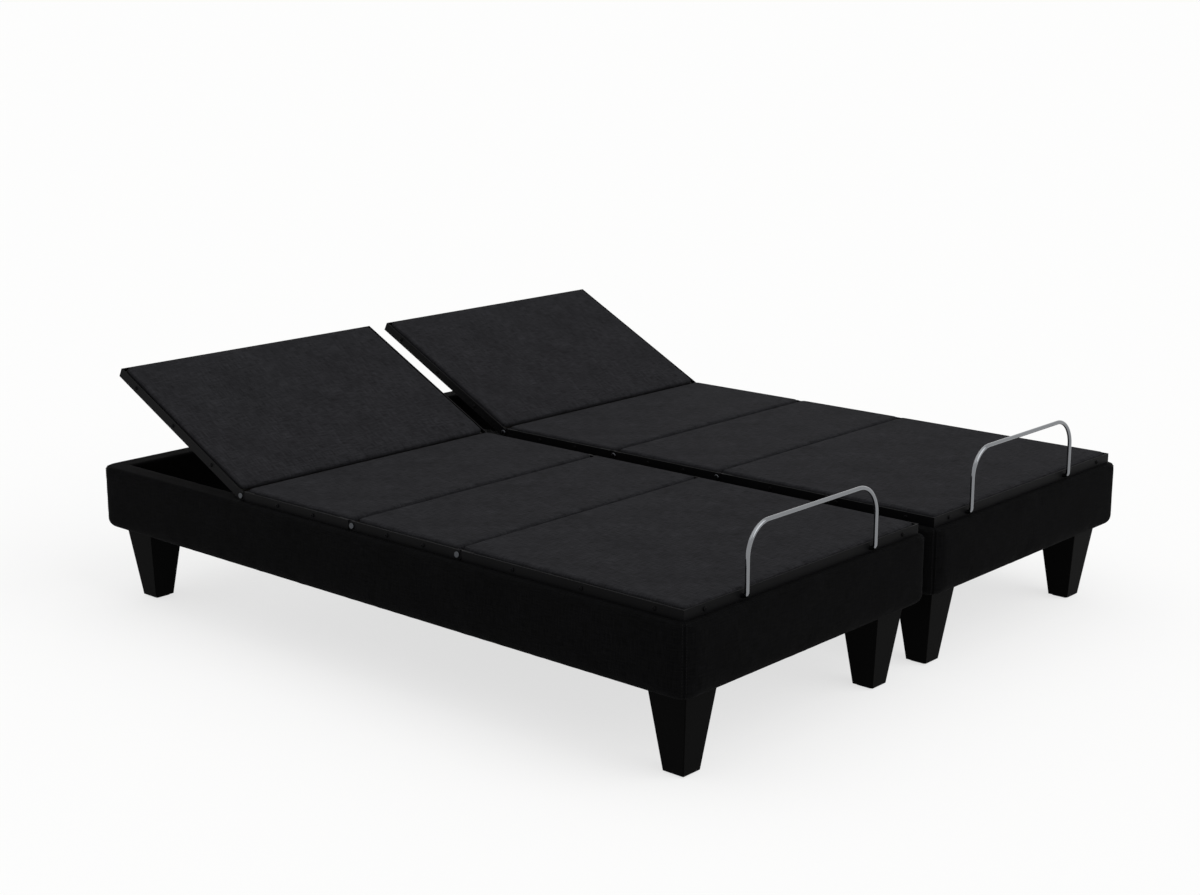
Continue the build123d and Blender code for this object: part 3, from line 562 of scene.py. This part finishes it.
def cover_section():
    """The wall's outline as (inset, height, held): bottom, outer face, top and inner face, in order."""
    low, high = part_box("left_box_cover")
    bottom, top = low.z, high.z
    turns = [math.radians(degrees) for degrees in EDGE_DEGREES]
    rows = [(inset, bottom, 1) for inset in BOTTOM_INSETS]
    for a in turns:
        inset, rise = BOTTOM_EDGE_R * (1 - math.sin(a)), BOTTOM_EDGE_R * (1 - math.cos(a))
        rows.append((inset, bottom + rise, 1 - a / LET_GO_RADIANS))
    face = np.linspace(bottom + BOTTOM_EDGE_R, top - TOP_EDGE_R, FACE_ROWS)
    rows += [(0, z, 0) for z in face[1:-1]]
    for a in [0, *turns]:
        inset, drop = TOP_EDGE_R * (1 - math.cos(a)), TOP_EDGE_R * (1 - math.sin(a))
        rows.append((inset, top - drop, a / LET_GO_RADIANS))
    rows += [(inset, top, 1) for inset in TOP_INSETS]
    for a in [0, *turns[1::2]]:
        short, drop = INNER_EDGE_R * (1 - math.sin(a)), INNER_EDGE_R * (1 - math.cos(a))
        rows.append((WALL - short, top - drop, 1))
    inner = np.linspace(top - INNER_EDGE_R, bottom + INNER_FOOT, INNER_ROWS)
    rows += [(WALL, z, 1) for z in inner[1:]]
    return rows


def cover_columns(half_x, half_y):
    """Round the box: (quarter, degrees, slide), where slide runs along the straight side after a corner."""
    columns = []
    straight = (2 * half_y - 2 * CORNER_R, 2 * half_x - 2 * CORNER_R)
    for quarter in range(4):
        for degrees in SEAM_DEGREES:
            columns.append((quarter, degrees, 0.0))
        length = straight[(quarter + 1) % 2]
        count = round(length / COVER_STEP)
        columns += [(quarter, 90, length * i / count) for i in range(1, count)]
    return columns


def cover_point(column, inset, z, half_x, half_y):
    """A point of the cover about the middle of its base."""
    quarter, degrees, slide = column
    radius = max(CORNER_R - inset, LEAST_CORNER_R)
    corner = ((half_x, half_y), (-half_x, half_y), (-half_x, -half_y), (half_x, -half_y))[quarter]
    side = (math.copysign(1, corner[0]), math.copysign(1, corner[1]))
    middle = Vector((corner[0] - side[0] * (inset + radius), corner[1] - side[1] * (inset + radius)))
    a = math.radians(90 * quarter + degrees)
    out = Vector((math.cos(a), math.sin(a)))
    along = Vector((-math.sin(a), math.cos(a)))
    span = (2 * half_x, 2 * half_y)[quarter % 2]
    share = slide / (span - 2 * CORNER_R)
    flat = middle + out * radius + along * share * (span - 2 * inset - 2 * radius)
    return Vector((flat.x, flat.y, z))


def make_cover():
    """Cover of one box about the middle of its base, not yet swollen, and how far each point is held."""
    low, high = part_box("left_box_cover")
    half_x, half_y = (high.x - low.x) / 2, (high.y - low.y) / 2
    rows, columns = cover_section(), cover_columns(half_x, half_y)
    points = []
    for inset, z, hold in rows:
        points += [cover_point(column, inset, z, half_x, half_y) for column in columns]
    piece = mesh_piece("left_cover", points, grid_faces(len(rows), len(columns), closed=True))
    add_cloth_map(piece, rows, columns, half_x, half_y)
    held = []
    for inset, z, hold in rows:
        for quarter, degrees, slide in columns:
            seam = 0 if slide else math.exp(-((degrees - SEAM_TURN) / SEAM_HOLD) ** 2)
            held.append(max(hold, seam))
    return piece, held, rows, columns


def add_cloth_map(piece, rows, columns, half_x, half_y):
    """Map of the cloth in metres: round the box, and up over the wall."""
    around = lengths_along([cover_point(column, 0, 0, half_x, half_y) for column in columns])
    over = lengths_along([Vector((inset, z)) for inset, z, held in rows])
    around = [*around, around[-1] + COVER_STEP]
    over = [*over, over[-1] + INNER_FOOT]
    layer = piece.data.uv_layers.new(name="cloth")
    for polygon in piece.data.polygons:
        r, c = divmod(polygon.index, len(columns))
        corners = ((c, r), (c + 1, r), (c + 1, r + 1), (c, r + 1))
        for loop, (u, v) in zip(polygon.loop_indices, corners):
            layer.data[loop].uv = (around[u], over[v])


def sew_corners(piece, rows, columns):
    """Draws the seams in, with a soft swell beside them and small gathers, after the swelling."""
    wide = len(columns)
    for index, vertex in enumerate(piece.data.vertices):
        quarter, degrees, slide = columns[index % wide]
        inset, z, held = rows[index // wide]
        if slide or inset > SEAM_INSET:
            continue
        reach = abs(math.radians(degrees - SEAM_TURN)) * CORNER_R
        groove = SEAM_DEPTH * math.exp(-(reach / SEAM_HALF) ** 2)
        lip = LIP_RISE * math.exp(-((reach - LIP_AT) / LIP_HALF) ** 2)
        wave = math.sin(2 * math.pi * z / GATHER_PITCH)
        gather = GATHER_RISE * wave * math.exp(-(reach / GATHER_HALF) ** 2)
        a = math.radians(90 * quarter + degrees)
        vertex.co += Vector((math.cos(a), math.sin(a), 0)) * (lip + gather - groove)
    piece.data.update()


def lines_beside_seams(piece, rows, columns):
    """Lines up the cover beside each corner seam, as points and the way that the corner faces."""
    wide = len(columns)
    bottom = rows[0][1]
    tall = [r for r, (inset, z, held) in enumerate(rows) if inset < STITCH_INSET and z > bottom]
    lines = []
    for c, (quarter, degrees, slide) in enumerate(columns):
        if slide or degrees not in STITCH_DEGREES:
            continue
        a = math.radians(90 * quarter + degrees)
        line = [piece.data.vertices[r * wide + c].co.copy() for r in tall]
        lines.append((line, Vector((math.cos(a), math.sin(a), 0))))
    return lines


# Deck pads

def flat_box(side, section, layer):
    """Lowest and highest corner of a section's pad or board, laid flat."""
    turn = section_turn(section, -1)
    points = np.array([turn @ v.co for v in nodes[f"{side}_{section}_{layer}"].data.vertices])
    return Vector(points.min(0)), Vector(points.max(0))


def pad_lines(low, high):
    """Grid lines across a pad: the edge's rows at both ends and even steps between."""
    edge = [inset for inset, rise in PAD_EDGE]
    count = round((high - low - 2 * edge[-1]) / PAD_STEP)
    even = np.linspace(low + edge[-1], high - edge[-1], count + 1)
    return [low + e for e in edge[:-1]] + list(even) + [high - e for e in reversed(edge[:-1])]


def cloth_steps(lines):
    """Places of the grid lines on the flat cloth, which also runs down the wrapped edges."""
    last = len(PAD_EDGE) - 1
    rises = [PAD_EDGE[min(i, len(lines) - 1 - i, last)][1] for i in range(len(lines))]
    return lengths_along([Vector(point) for point in zip(lines, rises)])


def make_pad(section):
    """Pad of one section of the left base, laid flat: a top with wrapped edges and rounded corners."""
    low, high = flat_box("left", section, "pad")
    xs, ys = pad_lines(low.x, high.x), pad_lines(low.y, high.y)
    us, vs = cloth_steps(xs), cloth_steps(ys)
    middle = (low + high) / 2
    round_from = Vector((high.x - middle.x - PAD_CORNER_R, high.y - middle.y - PAD_CORNER_R))
    points, held, flat = [], [], []
    last = len(PAD_EDGE) - 1
    for j, y in enumerate(ys):
        for i, x in enumerate(xs):
            ring = min(i, j, len(xs) - 1 - i, len(ys) - 1 - j)
            out_x, out_y = x - middle.x, y - middle.y
            past = Vector((abs(out_x) - round_from.x, abs(out_y) - round_from.y))
            if past.x > 0 and past.y > 0:
                past *= max(past) / past.length
                out_x = math.copysign(round_from.x + past.x, out_x)
                out_y = math.copysign(round_from.y + past.y, out_y)
            points.append((middle.x + out_x, middle.y + out_y, low.z + PAD_EDGE[min(ring, last)][1]))
            held.append(1.0 if ring < last - 1 else PAD_EDGE_HOLD if ring < last else 0.0)
            flat.append((us[i], vs[j]))
    piece = mesh_piece(f"left_{section}_top", points, grid_faces(len(ys), len(xs)))
    lay_cloth(piece, flat)
    return piece, held


def make_soft_pieces():
    """The pads and the cover of the left base, all swollen together, with the cover's seams drawn in."""
    made = {section: make_pad(section) for section in SECTIONS}
    cover, cover_held, rows, columns = make_cover()
    jobs = [(piece, held, PAD_PRESSURE, PAD_SWELL) for piece, held in made.values()]
    jobs.append((cover, cover_held, COVER_PRESSURE, COVER_SWELL))
    swell(jobs)
    sew_corners(cover, rows, columns)
    lines = lines_beside_seams(cover, rows, columns)
    return {section: piece for section, (piece, held) in made.items()}, cover, lines


def place_soft(piece, body, node, cloth):
    """Dresses a padded piece, which rides on a body in place of its solid."""
    piece.data.materials.append(cloth)
    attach(piece, body)
    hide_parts(node)


pads, cover, seam_lines = make_soft_pieces()
to_right = Matrix.Translation((middle_of("right") - middle_of("left"), 0, 0))
for section, pad in pads.items():
    if section == "head":
        pad.data.transform(section_turn(section, 1))
    refine(pad)
    twin = copy_piece(pad, f"right_{section}_top", to_right)
    for side, piece in (("left", pad), ("right", twin)):
        node = f"{side}_{section}_pad"
        place_soft(piece, body_of(side, section), node, deck_cloth)

refine(cover)
cover_twin = copy_piece(cover, "right_cover", Matrix.Translation((middle_of("right"), 0, 0)))
cover.data.transform(Matrix.Translation((middle_of("left"), 0, 0)))
for side, piece in (("left", cover), ("right", cover_twin)):
    place_soft(piece, "base", f"{side}_box_cover", cover_cloth)


# Strips of the deck cloth that run through the folds

def fold_strip(side, section, low_y, high_y, tilt=0.0):
    """Cloth let into the gap between two boards at the height of their hinge, sagging in the middle."""
    low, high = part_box(f"{side}_seat_board")
    across = np.linspace(low.x + STRIP_SHORT, high.x - STRIP_SHORT, STRIP_COLUMNS)
    points = []
    hinge = Vector((0, (low_y + high_y) / 2, HEAD_HINGE.z))
    for share in np.linspace(0, 1, STRIP_ROWS):
        eased = share * share * (3 - 2 * share)
        bend = Matrix.Rotation(math.radians(tilt) * eased, 3, "X")
        for x in across:
            drop = STRIP_SAG + STRIP_RIPPLE * math.sin(x / STRIP_RIPPLE_X)
            flat = Vector((x, (share - 0.5) * (high_y - low_y), -drop * math.sin(math.pi * share)))
            points.append(hinge + bend @ flat)
    strip = mesh_piece(f"{side}_{section}_fold_strip", points, grid_faces(STRIP_ROWS, STRIP_COLUMNS))
    lay_cloth(strip, [point.xy for point in points])
    only(strip)
    thick = strip.modifiers.new("thick", "SOLIDIFY")
    thick.thickness = STRIP_T
    bpy.ops.object.modifier_apply(modifier="thick")
    bpy.ops.object.shade_smooth()
    strip.data.materials.append(deck_cloth)
    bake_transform(strip)


for side in ("left", "right"):
    ends = {}
    for section in SECTIONS:
        board_low, board_high = flat_box(side, section, "board")
        ends[section] = (board_low.y, board_high.y)
    fold_strip(side, "head", ends["seat"][1], ends["head"][0], HEAD_REST)
    fold_strip(side, "thigh", ends["thigh"][1], ends["seat"][0])
    fold_strip(side, "knee", ends["calf"][1], ends["thigh"][0])


# Small fasteners, each modelled once at the origin, facing up

def pan_screw(radius, height):
    """Pan-head screw with rounded rim and a round recess."""
    crown, rim, slope, recess = height * 0.6, radius * 0.12, radius * 0.1, height * 0.45
    at = (0, 0, height / 2)
    bpy.ops.object.select_all(action="DESELECT")
    bpy.ops.mesh.primitive_cylinder_add(vertices=18, radius=radius, depth=height, location=at)
    screw = bpy.context.active_object
    bpy.ops.object.transform_apply(location=True)
    pick(screw, edge=lambda a, b: min(a.z, b.z) > height * 0.9)
    bpy.ops.mesh.bevel(offset=crown, segments=3, affect="EDGES")
    pick(screw, face=lambda face: face.normal.z > 0.9 and len(face.vertices) > 12)
    bpy.ops.mesh.inset(thickness=rim)
    bpy.ops.mesh.inset(thickness=slope)
    bpy.ops.transform.translate(value=(0, 0, -recess))
    bpy.ops.object.mode_set(mode="OBJECT")
    return screw


def hex_bolt(radius, height):
    """Hexagon head with eased corners on a plain washer."""
    washer_r, washer_t = radius * 1.45, height * 0.28
    washer_ease, head_ease = washer_t * 0.4, height * 0.18
    middle = washer_t + height / 2
    at = (0, 0, washer_t / 2)
    bpy.ops.object.select_all(action="DESELECT")
    bpy.ops.mesh.primitive_cylinder_add(vertices=24, radius=washer_r, depth=washer_t, location=at)
    washer = bpy.context.active_object
    bpy.ops.object.transform_apply(location=True)
    pick(washer, edge=lambda a, b: min(a.z, b.z) > washer_t * 0.9)
    bpy.ops.mesh.bevel(offset=washer_ease, segments=2, affect="EDGES")
    bpy.ops.object.mode_set(mode="OBJECT")
    bpy.ops.object.select_all(action="DESELECT")
    bpy.ops.mesh.primitive_cylinder_add(vertices=6, radius=radius, depth=height, location=(0, 0, middle))
    bolt = bpy.context.active_object
    bpy.ops.object.transform_apply(location=True)
    pick(bolt, edge=lambda a, b: min(a.z, b.z) > middle)
    bpy.ops.mesh.bevel(offset=head_ease, segments=2, affect="EDGES")
    bpy.ops.object.mode_set(mode="OBJECT")
    only(bolt)
    washer.select_set(True)
    bpy.ops.object.join()
    return bolt


def tube_plug(size, depth):
    """Pressed-in end plug of a square tube, slightly domed."""
    corner, rim, dome = size * 0.09, size * 0.08, depth * 0.3
    bpy.ops.object.select_all(action="DESELECT")
    bpy.ops.mesh.primitive_cube_add(size=1, location=(0, 0, depth / 2), scale=(size, size, depth))
    plug = bpy.context.active_object
    bpy.ops.object.transform_apply(location=True, scale=True)
    pick(plug, edge=lambda a, b: abs(a.z - b.z) > depth / 2)
    bpy.ops.mesh.bevel(offset=corner, segments=3, affect="EDGES")
    pick(plug, face=lambda face: face.normal.z > 0.9)
    bpy.ops.mesh.inset(thickness=rim)
    bpy.ops.transform.translate(value=(0, 0, dome))
    bpy.ops.object.mode_set(mode="OBJECT")
    return plug


def thread_stitch(length, radius):
    """One stitch: a short soft bead of thread lying along X."""
    bpy.ops.object.select_all(action="DESELECT")
    lying = (0, math.pi / 2, 0)
    bpy.ops.mesh.primitive_uv_sphere_add(segments=6, ring_count=4, radius=radius, rotation=lying)
    stitch = bpy.context.active_object
    bpy.ops.object.transform_apply(rotation=True)
    stitch.scale = (length / (2 * radius), 1, 1)
    bpy.ops.object.transform_apply(scale=True)
    bpy.ops.object.shade_smooth()
    return stitch


def set_out(pattern, name, places, body, material):
    """Copies of one small piece at each place, joined in one piece that rides on a body."""
    copies = [copy_piece(pattern, name, place) for place in places]
    only(copies[0])
    for twin in copies[1:]:
        twin.select_set(True)
    bpy.ops.object.join()
    piece = bpy.context.active_object
    bpy.ops.object.shade_smooth_by_angle(angle=math.radians(ROUND_TO))
    piece.data.materials.clear()
    piece.data.materials.append(material)
    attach(piece, body)


def facing(at, way):
    """Place at a point, with the piece's top turned to face a way."""
    return Matrix.Translation(at) @ Vector(way).to_track_quat("Z", "Y").to_matrix().to_4x4()


def plate_bolts(side):
    """Bolts that hold the beam plates, the seat's plates and the link plates to the rails of one box."""
    link_y, link_z = LINK_PLATE
    spots = []
    for step in (-1, 1):
        spots += [(y + step * BEAM_BOLT_STEP, BEAM_BOLT_Z) for y in BEAM_Y]
        spots += [(y + step * SEAT_BOLT_STEP, SEAT_BOLT_Z) for y in TUBE_Y["seat"]]
        spots += [(link_y + step * LINK_BOLT_STEP, link_z + rise * LINK_BOLT_STEP) for rise in (-1, 1)]
    middle = middle_of(side)
    return [facing((middle + way * PLATE_X, y, z), (-way, 0, 0)) for way in (-1, 1) for y, z in spots]


def joining_bolts():
    """Bolts up through the joining plates, two beside each other into each box."""
    places = []
    for y in JOIN_Y:
        for x in (-JOIN_BOLT_X, JOIN_BOLT_X):
            for step in (-JOIN_BOLT_STEP, JOIN_BOLT_STEP):
                places.append(facing((x, y + step, JOIN_UNDER), (0, 0, -1)))
    return places


def board_screws(side, section):
    """Screws up through the cross tubes into the board, and through the angles into its edges."""
    middle = middle_of(side)
    places = []
    for y in TUBE_Y[section]:
        places += [facing((middle + x, y, TUBE_UNDER), (0, 0, -1)) for x in TUBE_SCREW_X]
    for y in EDGE_SCREW_Y[section]:
        for way in (-1, 1):
            places.append(facing((middle + way * DECK_HALF, y, HEAD_HINGE.z), (way, 0, 0)))
    if section in END_Y:
        y = END_Y[section]
        for x in END_SCREW_X:
            places.append(facing((middle + x, y, HEAD_HINGE.z), (0, math.copysign(1, y), 0)))
    return [section_turn(section, 1) @ place for place in places]


def plug_places(side, section):
    """Both ends of each cross tube of a section."""
    middle = middle_of(side)
    places = []
    for y in TUBE_Y[section]:
        places += [facing((middle + way * TUBE_HALF, y, TUBE_MIDDLE), (way, 0, 0)) for way in (-1, 1)]
    return [section_turn(section, 1) @ place for place in places]


def seam_stitches(side):
    """Stitches on both sides of each corner seam, along the lines read from the cover."""
    places = []
    for line, out in seam_lines:
        steps = lengths_along(line)
        for reach in np.arange(STITCH_MARGIN, steps[-1] - STITCH_MARGIN, STITCH_PITCH):
            index = int(np.searchsorted(steps, reach)) - 1
            share = (reach - steps[index]) / (steps[index + 1] - steps[index])
            at = line[index].lerp(line[index + 1], share) + Vector((middle_of(side), 0, 0))
            run = (line[index + 1] - line[index]).normalized()
            beside = out.cross(run).normalized()
            turn = Matrix((run, beside, run.cross(beside))).transposed().to_4x4()
            places.append(Matrix.Translation(at) @ turn)
    return places


screw, bolt = pan_screw(*SCREW_HEAD), hex_bolt(*BOLT_HEAD)
plug, stitch = tube_plug(*TUBE_PLUG), thread_stitch(*STITCH)
for side in ("left", "right"):
    set_out(bolt, f"{side}_plate_bolts", plate_bolts(side), "base", zinc_steel)
    set_out(stitch, f"{side}_seam_stitches", seam_stitches(side), "base", seam_thread)
    for section in SECTIONS:
        name, body = f"{side}_{section}", body_of(side, section)
        set_out(screw, f"{name}_screws", board_screws(side, section), body, frame_coat)
        if section != "seat":
            places = plug_places(side, section)
            set_out(plug, f"{name}_tube_plugs", places, body, control_plastic)
set_out(bolt, "joining_bolts", joining_bolts(), "base", zinc_steel)
for pattern in (screw, bolt, plug, stitch):
    bpy.data.objects.remove(pattern)


# Floor, light and camera

def make_floor():
    """Pale paper that reads as white to the camera and in reflections, and still takes the shadow."""
    bpy.ops.object.select_all(action="DESELECT")
    bpy.ops.mesh.primitive_plane_add(size=FLOOR_SIZE, location=(0, 0, -FLOOR_DROP))
    floor = bpy.context.active_object
    floor.name = "studio_floor"
    material = bpy.data.materials.new("studio_paper")
    material.use_nodes = True
    tree = material.node_tree
    tree.nodes.remove(tree.nodes["Principled BSDF"])
    paper = add(tree, "BsdfDiffuse", {"Color": linear("#f7f7f6")})
    glow = add(tree, "Emission", {"Color": (1, 1, 1, 1), "Strength": 1.0})
    share = add(tree, "Math", {0: seen_directly(tree), 1: FLOOR_GLOW}, operation="MULTIPLY")
    both = add(tree, "MixShader", {0: share.outputs[0], 1: paper.outputs[0], 2: glow.outputs[0]})
    tree.links.new(both.outputs[0], tree.nodes["Material Output"].inputs["Surface"])
    floor.data.materials.append(material)


def seen_directly(tree):
    """1 for rays from the camera, off glossy faces or through glass, and 0 for the rest."""
    path = add(tree, "LightPath").outputs
    seen = path["Is Camera Ray"]
    for ray in ("Is Glossy Ray", "Is Transmission Ray"):
        seen = add(tree, "Math", {0: seen, 1: path[ray]}, operation="MAXIMUM").outputs[0]
    return seen


def light(name, at, strength, spread):
    """Broad soft light from a direction, even all over the floor."""
    lamp = bpy.data.lights.new(name, "SUN")
    lamp.energy = strength
    lamp.angle = math.radians(spread)
    holder = bpy.data.objects.new(name, lamp)
    holder.location = at
    holder.rotation_euler = (-Vector(at)).to_track_quat("-Z", "Y").to_euler()
    bpy.context.scene.collection.objects.link(holder)


def make_world():
    """White to the camera and in reflections, a softer even light on everything else."""
    world = bpy.data.worlds.new("studio")
    bpy.context.scene.world = world
    world.use_nodes = True
    tree = world.node_tree
    back = tree.nodes["Background"]
    back.inputs["Color"].default_value = (1, 1, 1, 1)
    strength = add(tree, "MapRange", {"Value": seen_directly(tree), "To Min": AROUND_LIGHT, "To Max": 1.0})
    tree.links.new(strength.outputs[0], back.inputs["Strength"])


def make_camera():
    """The photograph's view of the bed."""
    lens = bpy.data.cameras.new("photo_camera")
    lens.lens = CAMERA_LENS
    lens.sensor_width = FILM_WIDTH
    camera = bpy.data.objects.new("photo_camera", lens)
    camera.location = CAMERA_AT
    camera.rotation_euler = (math.radians(90 - CAMERA_DOWN), 0, math.radians(CAMERA_TURN))
    bpy.context.scene.collection.objects.link(camera)
    bpy.context.scene.camera = camera


make_floor()
make_world()
make_camera()
light("key", KEY_FROM, KEY_LIGHT, KEY_SPREAD)
light("top", TOP_FROM, TOP_LIGHT, TOP_SPREAD)
bpy.context.scene.view_settings.view_transform = "Standard"
